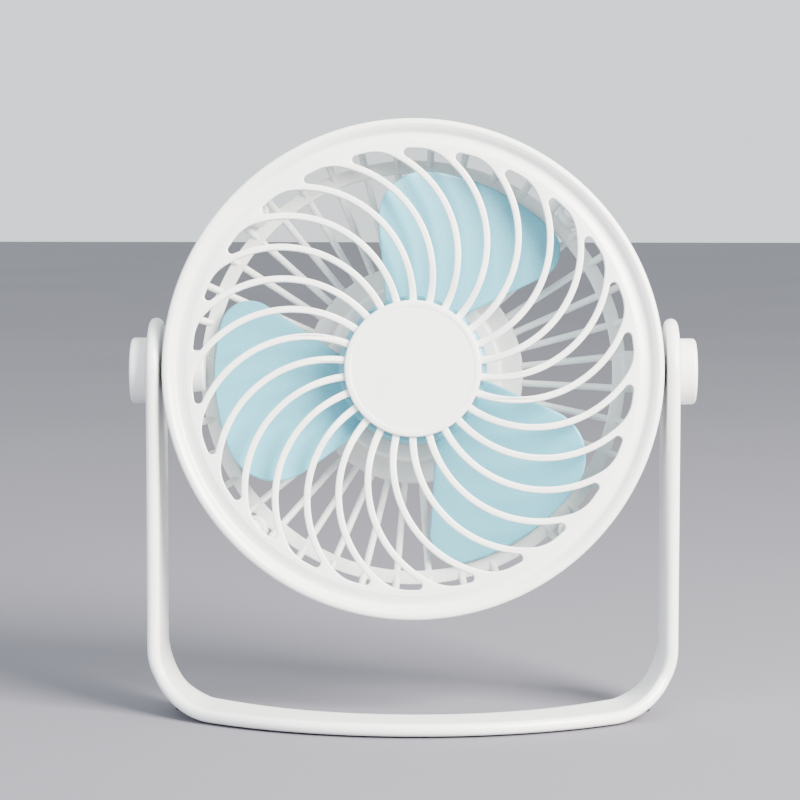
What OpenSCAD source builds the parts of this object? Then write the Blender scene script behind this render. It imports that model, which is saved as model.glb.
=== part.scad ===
// Desk fan: a tilting head in a bent strip stand. Millimetres, +Z up, the front faces -Y.

/* [Stand] */
// Gap between the head's side and each arm
side_gap = 1.2; // [1:0.1:3]
// Thickness of the bent strip
strip_thick = 3.8; // [3:0.1:5]
// Width of the strip on the arms
strip_width = 32; // [26:1:40]
// Width of the strip in the middle of the base
base_width = 17; // [14:1:24]
// How far the base bows forward of the arms
base_bow = 33; // [26:1:42]
// Outside radius of the two bends
bend_radius = 20; // [14:1:26]
// Height of the pivot above the table
pivot_height = 103.5; // [86:0.25:130]

/* [Head] */
// Outside diameter of the head
head_diameter = 150; // [140:1:180]
// Backward lean of the head at rest, degrees
head_lean = 7; // [0:1:20]
// Front rim's distance ahead of the pivot
front_reach = 17; // [16:0.5:22]
// Width of the front ring's face
ring_width = 9.1; // [8:0.1:12]
// Wall thickness of the two rims
rim_wall = 2; // [1.6:0.1:2.4]
// Diameter of the plain disc in the middle of the front
cap_diameter = 41; // [34:1:46]
// Number of curved ribs in the front grille
rib_count = 26; // [16:1:30]
// Width of a front rib
rib_width = 2; // [1.4:0.1:2.4]
// Thickness of the front grille
rib_depth = 1.8; // [1.4:0.1:2.4]
// How far each front rib turns between the middle and the ring, degrees
rib_turn = 96; // [80:1:110]
// Number of straight spokes in the rear cage
spoke_count = 40; // [24:4:44]
// Diameter of a rear spoke
spoke_diameter = 2.2; // [1.8:0.1:2.8]
// How far the ring that ties the rear spokes lies in from the head's outside
tie_inset = 10.1; // [9.9:0.1:18]
// Width of the tie ring
tie_width = 4.1; // [3:0.1:6]
// Diameter of the rear hub
hub_diameter = 68; // [66:1:76]
// Rear hub's distance behind the front rim
hub_setback = 36; // [35:0.5:42]

/* [Blades] */
// Gap between the blade tips and the wall of the rear rim
tip_gap = 10.8; // [9:0.1:18]
// Number of blades
blade_count = 3; // [2:1:4]
// Diameter of the impeller's hub
impeller_hub = 44.6; // [40:0.2:46]
// Thickness of a blade
blade_thick = 1.6; // [1.2:0.1:2.2]
// How far a blade climbs from its leading to its trailing edge
blade_climb = 12.5; // [8:0.5:13]
// Gap between the blades' back and the tie ring behind them
tie_gap = 1.2; // [0.8:0.1:2]

/* [Motor] */
// Diameter of the motor can
motor_diameter = 24.4; // [23:0.2:30]
// Length of the motor
motor_length = 12.3; // [11:0.1:13]
// Diameter of the motor shaft
shaft_diameter = 2; // [1.5:0.1:2.5]

/* [Controls and pivots] */
// Diameter of the power button
button_diameter = 10; // [8:0.5:12]
// Travel of the power button
button_travel = 1; // [0.6:0.1:1.2]
// Diameter of the side knobs
knob_diameter = 20; // [16:0.5:24]
// Thickness of the side knobs
knob_thick = 5.3; // [5:0.1:7]
// Diameter of the pivot stems
stem_diameter = 4.9; // [4.5:0.1:6]

/* [Fits] */
// Gap between a turning face and the face beside it
face_gap = 0.3; // [0.25:0.05:0.5]
// Radial clearance of a turning shaft
shaft_fit = 0.05; // [0.02:0.01:0.1]
// Radial clearance of a still part in its hole
still_fit = 0.1; // [0.05:0.05:0.2]

/* [Hidden] */
$fn = 64;
$fa = 3;
joint = 0.4;                       // how far one solid runs into the next
pad_proud = 0.5;                   // feet stand below the strip
pad_thick = 1.2;
screw_r = 1.3;
screw_head_r = 2.5;
screw_head_h = 1.7;
wall = 1.8;                        // moulded wall of the covers

// stand
arm_x = head_diameter / 2 + side_gap;
arm_out = arm_x + strip_thick;
arm_half = strip_width / 2;
front_edge = arm_half + base_bow;
rear_edge = front_edge - base_width;
pivot_y = front_edge - base_width / 2;
front_bow_r = (arm_x * arm_x + base_bow * base_bow) / (2 * base_bow);
rear_bow = arm_half + rear_edge;
rear_chord = arm_x - 1;
rear_bow_r = (rear_chord * rear_chord + rear_bow * rear_bow) / (2 * rear_bow);
bend_sweep = 14;                   // rounding of the strip's rear edge in the bends
bush_flange = 0.5;
bush_r = stem_diameter / 2 + shaft_fit;
bush_out_r = bush_r + 1.5;
bush_flange_r = bush_out_r + 0.8;
pad_r = 4.5;
pad_side_x = arm_out - bend_radius + 8;
pad_side_y = rear_bow_r - rear_edge - sqrt(pow(rear_bow_r + pad_r - 0.6, 2) - pow(pad_side_x, 2));

// head, with its own z towards the front
head_r = head_diameter / 2;
slot_r = head_r - ring_width;
skirt_in = head_r - rim_wall;
front_z = front_reach;
rib_z = front_z - 1;
seam_z = 7;
lip_top = seam_z + 3;
lip_r = skirt_in - still_fit;
rim_in = lip_r - 1.6;
rim_back = -3;
boss_x = arm_x - bush_flange - face_gap;
boss_r = 6.2;
boss_in = rim_in - 8;
stem_in = rim_in - 4;
post_at = rim_in - 3.4;
post_r = 2.7;
post_foot = 3.1;
screw_boss_r = 4;
cap_r = cap_diameter / 2;
rib_a = 2 * (1 - cos(rib_turn));   // a rib ends on the ring: a r^2 + b r + c = 0
rib_b = 2 * cap_r * sin(rib_turn);
rib_c = cap_r * cap_r - slot_r * slot_r;
rib_curve = (sqrt(rib_b * rib_b - 4 * rib_a * rib_c) - rib_b) / (2 * rib_a);
cap_thick = 1.2;
cap_seat = front_z - 3;
hub_r = hub_diameter / 2;
hub_z = front_z - hub_setback;
hub_wall = 2;
hub_back = hub_z - 4;
spoke_r = spoke_diameter / 2;
spoke_in = hub_r - hub_wall / 2;
spoke_out = rim_in + 1.9;
spoke_in_z = hub_z - 1.5;
spoke_out_z = rim_back + spoke_r + 2.2;
tie_mid = head_r - tie_inset - tie_width / 2;
tie_thick = 1.8;

// motor and its housing
motor_r = motor_diameter / 2;
house_wall = 1.6;
house_r = 27.5;
house_front = hub_z + 9;
motor_front = house_front - house_wall;
motor_back = motor_front - motor_length;
can_wall = 0.7;
can_in = motor_r - can_wall;
end_thick = 1;
can_back = motor_back + end_thick;
shaft_r = shaft_diameter / 2;
bush_bore = shaft_r + shaft_fit;
nose_r = 3.05;
bearing_r = 2.4;
core_r = 8.2;
magnet_in = core_r + 0.6;
core_low = can_back + 3;
core_high = motor_front - 3;
brush_r = 2.1;
motor_screw_at = 7.5;

// impeller
tip_r = rim_in - tip_gap;
imp_hub_r = impeller_hub / 2;
imp_front = cap_seat - 2 - 1.4;
imp_back = house_front + 2.5;
imp_wall = 1.5;
insert_r = 2.4;
shaft_tip = imp_front - 7;
blade_turn = 69;                   // where the first blade's middle line points
lead_r = tip_r * 0.15;             // round of a blade's leading corner, and how far round it sits
lead_turn = 23;
trail_r = tip_r * 0.25;            // and of its trailing corner
trail_turn = 15.3;
lead_half = (tip_r - lead_r) * sin(lead_turn) + lead_r;
trail_half = (tip_r - trail_r) * sin(trail_turn) + trail_r;
blade_start = 18;                  // from the curved sheet's lowest line to the leading tip
blade_shift = lead_half + blade_start;
blade_bend = (pow(blade_shift + trail_half, 2) - pow(blade_start, 2)) / (2 * blade_climb);
lead_z = spoke_height(tie_mid) + tie_thick / 2 + tie_gap + blade_thick;
blade_axis_z = lead_z + sqrt(pow(blade_bend, 2) - pow(blade_start, 2));
lead_root = [imp_hub_r - 4, -imp_hub_r * 0.25];   // where the edges run in to the hub
trail_root = [imp_hub_r * 0.45, imp_hub_r * 0.54];

// back cover
cover_out = hub_back - 12;
cover_in = cover_out + wall;
cover_in_r = hub_r - wall;
cover_post_at = hub_r - 8.5;
cover_post_r = 2.7;
board_back = cover_in + 5.3;
board_thick = 1.2;
board_front = board_back + board_thick;
board_x = 34;
board_y = 30;
board_screw_x = 13.5;
button_r = button_diameter / 2;
button_y = 6.5;
flange_top = cover_in + face_gap;
flange_thick = 1;
button_out = cover_out - 0.9;
switch_top = flange_top + flange_thick + button_travel + face_gap;
port_y = -9;
port_w = 9;
port_h = 3.2;

// knobs
knob_in = arm_out + face_gap;
knob_out = knob_in + knob_thick;
knob_r = knob_diameter / 2;
recess_r = 3.2;
recess_in = knob_out - 2.6;
knob_cap_r = 5;
knob_cap_thick = 0.8;

// Which sub-part to show

module in_head() {
    translate([0, pivot_y, pivot_height]) rotate([90 - head_lean, 0, 0]) children();
}

module both_sides() {
    for (side = [0, 1]) mirror([side, 0, 0]) children();
}

module tube(outer, inner, low, high) {
    difference() {
        translate([0, 0, low]) cylinder(r = outer, h = high - low);
        translate([0, 0, low - 1]) cylinder(r = inner, h = high - low + 2);
    }
}

module rod(r, low, high) {
    translate([0, 0, low]) cylinder(r = r, h = high - low);
}

// a screw with its head at the low end, flat faces, and a cross recess
module screw(head_z, length) {
    difference() {
        union() {
            rod(screw_head_r, head_z, head_z + screw_head_h);
            rod(screw_r, head_z + screw_head_h - joint, head_z + screw_head_h + length);
        }
        for (turn = [0, 90]) rotate([0, 0, turn])
            translate([-1.4, -0.3, head_z - 1]) cube([2.8, 0.6, 1.8]);
    }
}

// Stand ---------------------------------------------------------------

module base_plan() {
    difference() {
        intersection() {
            translate([0, front_bow_r - front_edge]) circle(r = front_bow_r, $fn = 180);
            translate([-arm_x, -front_edge - 1]) square([2 * arm_x, front_edge + 1 + arm_half]);
        }
        translate([0, rear_bow_r - rear_edge]) circle(r = rear_bow_r, $fn = 180);
    }
}

module bend_outline() {
    low = pad_proud;
    reach = bend_radius + 1;
    difference() {
        union() {
            translate([-arm_out, low + bend_radius]) square([2 * arm_out, reach]);
            translate([-arm_out + bend_radius, low])
                square([2 * (arm_out - bend_radius), bend_radius + reach]);
            both_sides() translate([arm_out - bend_radius, low + bend_radius])
                circle(r = bend_radius);
        }
        translate([-arm_x, low + bend_radius]) square([2 * arm_x, reach + 1]);
        translate([-arm_out + bend_radius, low + strip_thick])
            square([2 * (arm_out - bend_radius), bend_radius + reach]);
        both_sides() translate([arm_out - bend_radius, low + bend_radius])
            circle(r = bend_radius - strip_thick);
    }
}

// seen from the side: the strip's rear edge sweeps forward round each bend
module bend_profile() {
    translate([-arm_out - 1, 0, 0]) {
        translate([0, -front_edge - 1, 0])
            cube([2 * arm_out + 2, front_edge + 1 + arm_half - bend_sweep, pivot_height]);
        translate([0, arm_half - bend_sweep, pad_proud + bend_radius]) rotate([0, 90, 0])
            rotate_extrude(angle = 90) square([bend_sweep, 2 * arm_out + 2]);
    }
}

module stand_frame() {
    color("white") translate([0, pivot_y, 0]) difference() {
        union() {
            intersection() {
                translate([0, arm_half, 0]) rotate([90, 0, 0])
                    linear_extrude(height = arm_half + front_edge) bend_outline();
                union() {
                    linear_extrude(height = pivot_height) base_plan();
                    both_sides() translate([arm_x, -arm_half, 0])
                        cube([strip_thick, strip_width, pivot_height]);
                }
                bend_profile();
            }
            both_sides() {
                translate([arm_x, -arm_half, pad_proud + bend_radius])
                    cube([strip_thick, strip_width, pivot_height - pad_proud - bend_radius]);
                translate([arm_x, 0, pivot_height]) rotate([0, 90, 0])
                    cylinder(r = arm_half, h = strip_thick);
            }
        }
        both_sides() translate([arm_x - 1, 0, pivot_height]) rotate([0, 90, 0])
            cylinder(r = bush_out_r, h = strip_thick + 2);
        translate([0, -pivot_y, 0]) rod(pad_r + still_fit, 0, pad_thick);
    }
}

// a flat foot under the front, and a wedge under each bend
module foot_pads() {
    color("dimgray") {
        rod(pad_r, 0, pad_thick);
        both_sides() difference() {
            translate([pad_side_x, pivot_y + pad_side_y, 0]) cylinder(r = pad_r, h = bend_radius / 2);
            translate([arm_out - bend_radius, 0, pad_proud + bend_radius]) rotate([-90, 0, 0])
                cylinder(r = bend_radius + 0.05, h = 2 * pivot_y);
        }
    }
}

module pivot_bushes() {
    color("dimgray") translate([0, pivot_y, pivot_height]) both_sides() rotate([0, 90, 0])
        difference() {
            union() {
                rod(bush_out_r, arm_x - joint, arm_out);
                rod(bush_flange_r, arm_x - bush_flange, arm_x);
            }
            rod(bush_r, arm_x - 2, arm_out + 1);
        }
}

// Head shell ----------------------------------------------------------

module rim_places() {
    for (turn = [45 : 90 : 315]) rotate([0, 0, turn]) translate([post_at, 0, 0]) children();
}

module swirl_rib() {
    rotate([0, 0, 7]) {
        translate([cap_r, rib_curve, 0]) rotate([0, 0, -90]) rotate_extrude(angle = rib_turn + 3, $fn = 96)
            translate([rib_curve - rib_width / 2, rib_z - 6]) square([rib_width, 8]);
        translate([cap_r - 3, -rib_width / 2, rib_z - 6]) cube([3.2, rib_width, 8]);
    }
}

module grille_arch() {
    top = rib_z;
    low = rib_z - rib_depth;
    dip = rib_z - cap_seat;
    rotate_extrude($fn = 120) polygon([
        [cap_r - 2.5, low - dip], [cap_r + 0.3, low - dip], [cap_r + 12, low - 0.2],
        [slot_r - 8, low], [slot_r + 1.6, low - 0.3], [slot_r + 1.6, top - 0.3],
        [slot_r - 8, top], [cap_r + 12, top - 0.2], [cap_r + 0.3, top - dip], [cap_r - 2.5, top - dip]]);
}

module front_grille() {
    color("white") in_head() difference() {
        union() {
            rotate_extrude($fn = 120) polygon([
                [slot_r, front_z - 2.9], [slot_r, front_z - 1], [slot_r + 1.8, front_z - 1.3],
                [slot_r + 3.6, front_z - 1.9], [slot_r + 4.9, front_z - 2], [slot_r + 6.4, front_z - 0.6],
                [slot_r + 7.4, front_z], [head_r - 0.8, front_z - 0.2], [head_r, front_z - 1.2],
                [head_r, seam_z + 0.2], [skirt_in, seam_z + 0.2], [skirt_in, front_z - 4],
                [slot_r + 4.4, front_z - 4]]);
            intersection() {
                for (k = [0 : rib_count - 1]) rotate([0, 0, k * 360 / rib_count]) swirl_rib();
                grille_arch();
            }
            rod(cap_r - 0.8, cap_seat - 2, cap_seat);
            rim_places() rod(post_r, post_foot, front_z - 3.6);
        }
        rim_places() rod(screw_r + shaft_fit, post_foot - 1, post_foot + 7);
        for (turn = [90 : 120 : 330]) rotate([0, 0, turn]) translate([cap_r * 0.6, 0, 0])
            rod(1.5 + shaft_fit, cap_seat - 3, cap_seat + 1);
    }
}

module centre_cap() {
    color("white") in_head() {
        rod(cap_r, cap_seat, cap_seat + cap_thick);
        for (turn = [90 : 120 : 330]) rotate([0, 0, turn]) translate([cap_r * 0.6, 0, 0])
            rod(1.5, cap_seat - 2, cap_seat + joint);
    }
}

module spoke() {
    run = spoke_out - spoke_in;
    rise = spoke_out_z - spoke_in_z;
    translate([spoke_in, 0, spoke_in_z]) rotate([0, atan2(run, rise), 0])
        cylinder(r = spoke_r, h = sqrt(run * run + rise * rise), $fn = 24);
}

function spoke_height(r) =
    spoke_in_z + (r - spoke_in) * (spoke_out_z - spoke_in_z) / (spoke_out - spoke_in);

module rear_cage() {
    tie_z = spoke_height(tie_mid);
    color("white") in_head() difference() {
        union() {
            rotate_extrude($fn = 120) polygon([
                [rim_in, rim_back], [head_r - 1.4, rim_back], [head_r - 0.4, rim_back + 1],
                [head_r - 0.4, seam_z], [lip_r, seam_z], [lip_r, lip_top], [rim_in, lip_top]]);
            for (k = [0 : spoke_count - 1]) rotate([0, 0, (k + 0.5) * 360 / spoke_count]) spoke();
            tube(tie_mid + tie_width / 2, tie_mid - tie_width / 2,
                 tie_z - tie_thick / 2, tie_z + tie_thick / 2);
            tube(hub_r, hub_r - hub_wall, hub_back, hub_z);
            rod(hub_r - joint, hub_z - 2, hub_z);
            both_sides() rotate([0, 90, 0]) rod(boss_r, boss_in, boss_x);
            rim_places() rod(screw_boss_r, -6, 5);
            for (turn = [90 : 120 : 330]) rotate([0, 0, turn]) translate([cover_post_at, 0, 0])
                rod(cover_post_r, cover_in + 0.1, hub_z - 1);
        }
        both_sides() rotate([0, 90, 0]) {
            rod(stem_diameter / 2 + shaft_fit, stem_in, boss_x + 1);
            rod(screw_r + shaft_fit, boss_in + 0.6, stem_in + 1);
        }
        rim_places() {
            rod(post_r + still_fit, 3, 6);
            rod(screw_r + still_fit, -7, 4);
            rod(screw_head_r + 0.2, -7, -3.8);
        }
        rod(motor_r + still_fit, hub_z - 3, hub_z + 1);
        housing_places() rod(screw_r + still_fit, hub_z - 3, hub_z + 1);
        for (turn = [90 : 120 : 330]) rotate([0, 0, turn]) translate([cover_post_at, 0, 0])
            rod(screw_r + shaft_fit, cover_in - 1, cover_in + 9);
    }
}

module rim_screws() {
    color("silver") in_head() rim_places() screw(-3.8 - screw_head_h, 13);
}

// Knobs and pivots ----------------------------------------------------

module pivot_axis() {
    in_head() both_sides() rotate([0, 90, 0]) children();
}

module side_knobs() {
    color("white") pivot_axis() difference() {
        union() {
            rod(knob_r, knob_in, knob_out);
            rod(stem_diameter / 2, stem_in + 0.1, knob_in + joint);
        }
        rod(screw_r + shaft_fit, stem_in - 1, knob_out + 1);
        rod(recess_r, recess_in, knob_out + 1);
        rod(knob_cap_r + shaft_fit, knob_out - knob_cap_thick, knob_out + 1);
    }
}

module pivot_screws() {
    color("silver") pivot_axis() difference() {
        union() {
            rod(screw_head_r, recess_in, recess_in + 1.6);
            rod(screw_r, boss_in + 1, recess_in + joint);
        }
        for (turn = [0, 90]) rotate([0, 0, turn])
            translate([-1.4, -0.3, recess_in + 0.8]) cube([2.8, 0.6, 2]);
    }
}

module knob_caps() {
    color("white") pivot_axis() rod(knob_cap_r, knob_out - knob_cap_thick, knob_out);
}

// Motor ---------------------------------------------------------------

module housing_places() {
    for (turn = [30 : 120 : 270]) rotate([0, 0, turn]) translate([house_r - 5, 0, 0]) children();
}

module motor_screw_places() {
    for (turn = [0, 180]) rotate([0, 0, turn]) translate([motor_screw_at, 0, 0]) children();
}

module motor_housing() {
    color("white") in_head() difference() {
        union() {
            tube(house_r, house_r - house_wall, hub_z, house_front);
            rod(house_r - joint, motor_front, house_front);
            tube(motor_r + 2, motor_r + still_fit, hub_z + 0.2, motor_front + joint);
            housing_places() rod(2.6, hub_z, motor_front + joint);
        }
        rod(nose_r + still_fit, motor_front - 1, house_front + 1);
        motor_screw_places() rod(0.95, motor_front - 1, house_front + 1);
        housing_places() rod(screw_r + shaft_fit, hub_z - 1, hub_z + 6);
    }
}

module housing_screws() {
    color("silver") in_head() housing_places() screw(hub_z - 2 - screw_head_h, 6.5);
}

module motor_can() {
    color("lightsteelblue") in_head() difference() {
        union() {
            tube(motor_r, can_in, can_back, motor_front);
            rod(can_in + joint, motor_front - can_wall, motor_front);
            rod(nose_r, motor_front - joint, house_front);
        }
        rod(bearing_r, motor_front - 2, house_front + 1);
        motor_screw_places() rod(0.85, motor_front - 2, motor_front + 1);
    }
}

module motor_end_cap() {
    color("black") in_head() difference() {
        union() {
            rod(motor_r, motor_back, can_back);
            tube(can_in - still_fit, can_in - 1.2, can_back - joint, can_back + 1.2);
            rod(3.6, motor_back - 0.8, can_back + 0.8);
        }
        rod(bearing_r, motor_back - 2, can_back + 2);
        both_sides() translate([motor_screw_at - 1.5 - still_fit, -0.4, motor_back - 1])
            cube([3 + 2 * still_fit, 0.8, 4]);
    }
}

module motor_magnets() {
    color("dimgray") in_head() both_sides() rotate([0, 0, -55]) rotate_extrude(angle = 110)
        translate([magnet_in, core_low - 1])
            square([can_in - still_fit - magnet_in, core_high - core_low + 2]);
}

module motor_bearings() {
    color("goldenrod") in_head() {
        tube(bearing_r, bush_bore, motor_front - 0.7, house_front);
        tube(bearing_r, bush_bore, motor_back - 0.8, can_back + 0.8);
    }
}

module motor_brushes() {
    color("peru") in_head() both_sides() {
        translate([brush_r + face_gap, -1, can_back + 1.4]) cube([0.8, 2, 0.9]);
        translate([brush_r + face_gap + 0.7, -0.5, can_back + 1.6])
            cube([motor_screw_at - brush_r - 1, 1, 0.4]);
        translate([motor_screw_at - 1.5, -0.3, can_back]) cube([3, 0.6, 1.9]);
    }
}

module motor_terminals() {
    color("silver") in_head() both_sides()
        translate([motor_screw_at - 1.5, -0.3, motor_back - 1.6]) cube([3, 0.6, end_thick + 1.6]);
}

module motor_screws() {
    color("silver") in_head() motor_screw_places() difference() {
        union() {
            rod(1.6, house_front, house_front + 0.9);
            rod(0.8, motor_front - 1.6, house_front + 0.2);
        }
        translate([-2, -0.25, house_front + 0.5]) cube([4, 0.5, 1]);
    }
}

module motor_leads() {
    low = board_front;
    bend = motor_back - 1;
    color("crimson") in_head() both_sides() {
        translate([motor_screw_at, -0.3 - 3.6, bend]) rotate([-90, 0, 0])
            cylinder(r = 0.5, h = 3.6, $fn = 24);
        translate([motor_screw_at, -0.3 - 3.6, bend]) sphere(r = 0.5, $fn = 24);
        translate([motor_screw_at, -0.3 - 3.6, low]) cylinder(r = 0.5, h = bend - low, $fn = 24);
    }
}

// Back cover and controls ---------------------------------------------

module back_cover() {
    color("white") in_head() difference() {
        union() {
            rotate_extrude($fn = 120) polygon([
                [0, cover_out], [hub_r - 5, cover_out], [hub_r - 1.6, cover_out + 1.4],
                [hub_r, cover_out + 4], [hub_r, hub_back - 0.2], [cover_in_r, hub_back - 0.2],
                [cover_in_r, cover_in + 3], [hub_r - 5.4, cover_in], [0, cover_in]]);
            both_sides() translate([board_screw_x, 0, 0]) rod(2.2, cover_in - joint, board_back);
        }
        translate([0, button_y, 0]) rod(button_r + shaft_fit, cover_out - 1, cover_in + 1);
        translate([-port_w / 2 - 0.2, port_y - port_h / 2 - 0.2, cover_out - 1])
            cube([port_w + 0.4, port_h + 0.4, wall + 2]);
        for (turn = [90 : 120 : 330]) rotate([0, 0, turn]) translate([cover_post_at, 0, 0]) {
            rod(screw_r + still_fit, cover_out - 1, cover_in + 1);
            rod(screw_head_r + 0.2, cover_out - 1, cover_out + 0.9);
        }
        both_sides() translate([board_screw_x, 0, 0])
            rod(screw_r + shaft_fit, cover_in + 0.6, board_back + 1);
        for (turn = [-30 : 12 : 30]) rotate([0, 0, turn + 270]) translate([21, -0.8, cover_out - 1])
            cube([5, 1.6, wall + 2]);
    }
}

module cover_screws() {
    color("silver") in_head() for (turn = [90 : 120 : 330]) rotate([0, 0, turn])
        translate([cover_post_at, 0, 0]) screw(cover_out + 0.9 - screw_head_h, 9);
}

module circuit_board() {
    color("darkgreen") in_head() difference() {
        translate([-board_x / 2, -board_y / 2, board_back]) cube([board_x, board_y, board_thick]);
        both_sides() translate([board_screw_x, 0, 0])
            rod(screw_r + still_fit, board_back - 1, board_front + 1);
    }
}

module board_screws() {
    color("silver") in_head() both_sides() translate([board_screw_x, 0, 0]) mirror([0, 0, 1])
        screw(-board_front - screw_head_h, 5);
}

module switch_body() {
    color("black") in_head() translate([0, button_y, 0]) {
        translate([-3, -3, switch_top + 0.6])
            cube([6, 6, board_back - switch_top - 0.6]);
        rod(1.7, switch_top, switch_top + 0.6 + joint);
    }
}

module power_socket() {
    low = cover_out + 0.2;
    color("silver") in_head() translate([0, port_y, 0]) {
        difference() {
            translate([-port_w / 2, -port_h / 2, low]) cube([port_w, port_h, board_back - low]);
            translate([-port_w / 2 + 0.4, -port_h / 2 + 0.4, low - 1])
                cube([port_w - 0.8, port_h - 0.8, 6.2]);
        }
        translate([-3, -0.35, low + 1]) cube([6, 0.7, 4.6]);
    }
}

module power_button() {
    color("darkcyan") in_head() translate([0, button_y, 0]) {
        rod(button_r, button_out, flange_top + joint);
        rod(button_r + 0.9, flange_top, flange_top + flange_thick);
    }
}

// Impeller and rotor --------------------------------------------------

// the turn at which a straight side from the root touches the corner's round
function side_turn(root, corner, r) =
    atan2(corner[1] - root[1], corner[0] - root[0]) + asin(r / norm(corner - root)) + 90;

function arc(centre, r, from, to, steps) =
    [for (k = [0 : steps]) let (turn = from + (to - from) * k / steps)
        centre + r * [cos(turn), sin(turn)]];

module blade_outline() {
    lead = (tip_r - lead_r) * [cos(lead_turn), sin(lead_turn)];
    trail = (tip_r - trail_r) * [cos(trail_turn), sin(trail_turn)];
    lead_far = side_turn([lead_root[0], -lead_root[1]], lead, lead_r);
    trail_far = side_turn(trail_root, trail, trail_r);
    polygon(concat([lead_root],
        arc([lead[0], -lead[1]], lead_r, -lead_far, -lead_turn, 14),
        arc([0, 0], tip_r, 3 - lead_turn, trail_turn - 3, 9),
        arc(trail, trail_r, trail_turn, trail_far, 14), [trail_root]));
}
module blade() {
    intersection() {
        translate([0, 0, -12]) linear_extrude(height = 34) blade_outline();
        translate([0, -blade_shift, blade_axis_z]) rotate([0, 90, 0]) difference() {
            cylinder(r = blade_bend + blade_thick, h = tip_r + 1, $fn = 360);
            translate([0, 0, -1]) cylinder(r = blade_bend, h = tip_r + 3, $fn = 360);
        }
    }
}

module impeller() {
    color("skyblue") in_head() difference() {
        union() {
            difference() {
                for (k = [0 : blade_count - 1]) rotate([0, 0, blade_turn + k * 360 / blade_count]) blade();
                rod(imp_hub_r - imp_wall / 2, -20, 30);
            }
            tube(imp_hub_r, imp_hub_r - imp_wall, imp_back, imp_front);
            rod(imp_hub_r - joint, imp_front - imp_wall, imp_front);
            rod(4.2, imp_back + 1, imp_front - joint);
            for (turn = [30 : 120 : 270]) rotate([0, 0, turn])
                translate([3.6, -0.6, imp_front - 8]) cube([imp_hub_r - 4.4, 1.2, 7]);
        }
        rod(insert_r, imp_back, shaft_tip + 0.6);
    }
}

module impeller_insert() {
    color("gold") in_head() tube(insert_r, shaft_r, imp_back + 1.2, shaft_tip);
}

module motor_shaft() {
    color("silver") in_head() rod(shaft_r, motor_back - 0.7, shaft_tip);
}

module rotor_core() {
    color("slategray") in_head() difference() {
        rod(core_r, core_low, core_high);
        rod(shaft_r, core_low - 1, core_high + 1);
        for (turn = [0, 120, 240]) rotate([0, 0, turn]) {
            rotate([0, 0, -38]) rotate_extrude(angle = 76)
                translate([3.4, core_low - 1]) square([3.2, core_high - core_low + 2]);
            translate([6, -1, core_low - 1]) cube([3, 2, core_high - core_low + 2]);
        }
    }
}

module rotor_windings() {
    color("chocolate") in_head() for (turn = [0, 120, 240]) rotate([0, 0, turn])
        for (side = [-37.8, 4.5]) rotate([0, 0, side]) rotate_extrude(angle = 33.3)
            translate([3.5, core_low - 0.8]) square([3, core_high - core_low + 1.6]);
}

module commutator() {
    color("peru") in_head() tube(brush_r, shaft_r, can_back + 1.1, core_low);
}

stand_frame();
foot_pads();
pivot_bushes();
front_grille();
centre_cap();
rear_cage();
rim_screws();
side_knobs();
pivot_screws();
knob_caps();
motor_housing();
housing_screws();
motor_can();
motor_end_cap();
motor_magnets();
motor_bearings();
motor_brushes();
motor_terminals();
motor_screws();
motor_leads();
back_cover();
cover_screws();
circuit_board();
board_screws();
switch_body();
power_socket();
impeller();
impeller_insert();
motor_shaft();
rotor_core();
rotor_windings();
commutator();
power_button();
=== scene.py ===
import bpy
import bmesh
from math import asin, atan2, cos, hypot, pi, radians, sin, sqrt
from mathutils import Matrix, Vector


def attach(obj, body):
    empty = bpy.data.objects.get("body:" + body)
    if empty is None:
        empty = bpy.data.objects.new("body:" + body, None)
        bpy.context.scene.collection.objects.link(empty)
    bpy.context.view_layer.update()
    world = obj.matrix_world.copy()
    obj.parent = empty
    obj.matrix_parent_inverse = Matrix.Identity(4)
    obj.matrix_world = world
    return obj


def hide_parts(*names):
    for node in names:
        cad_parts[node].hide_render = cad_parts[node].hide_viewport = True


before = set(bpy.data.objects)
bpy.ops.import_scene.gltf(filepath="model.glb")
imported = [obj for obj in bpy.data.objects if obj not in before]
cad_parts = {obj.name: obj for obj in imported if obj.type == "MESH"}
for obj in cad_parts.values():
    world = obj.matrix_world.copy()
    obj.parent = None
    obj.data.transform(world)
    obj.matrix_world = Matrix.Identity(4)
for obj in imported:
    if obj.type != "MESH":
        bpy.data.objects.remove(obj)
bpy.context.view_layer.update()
scene = bpy.context.scene
print("frame loaded")

# sizes shared by several pieces, in mm
fan = {"pivotY": 40.5, "pivotZ": 103.5, "lean": 7.0, "rim": 75.0, "front": 17.0,
       "cap": 20.5, "seam": 7.0, "hub": 34.0, "hubZ": -19.0, "armX": 76.2}
toMetres = Matrix.Scale(0.001, 4)
tilt = Matrix.Rotation(radians(90 - fan["lean"]), 4, "X")
placeHead = toMetres @ Matrix.Translation((0, fan["pivotY"], fan["pivotZ"])) @ tilt
placeStand = toMetres @ Matrix.Translation((0, fan["pivotY"], 0))


# colour and material helpers

def colour(text):
    parts = [int(text[i:i + 2], 16) / 255 for i in (1, 3, 5)]
    return tuple(c / 12.92 if c <= 0.04045 else ((c + 0.055) / 1.055) ** 2.4 for c in parts) + (1.0,)


def addNode(tree, kind, links=None, **settings):
    made = tree.nodes.new(kind)
    for key, value in settings.items():
        setattr(made, key, value)
    for socket, value in (links or {}).items():
        if isinstance(value, bpy.types.NodeSocket):
            tree.links.new(value, made.inputs[socket])
        else:
            made.inputs[socket].default_value = value
    return made


def ramp(tree, source, low, high, start, end):
    made = addNode(tree, "ShaderNodeMapRange", {"Value": source, "From Min": low, "From Max": high,
                                                "To Min": start, "To Max": end})
    return made.outputs["Result"]


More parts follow.
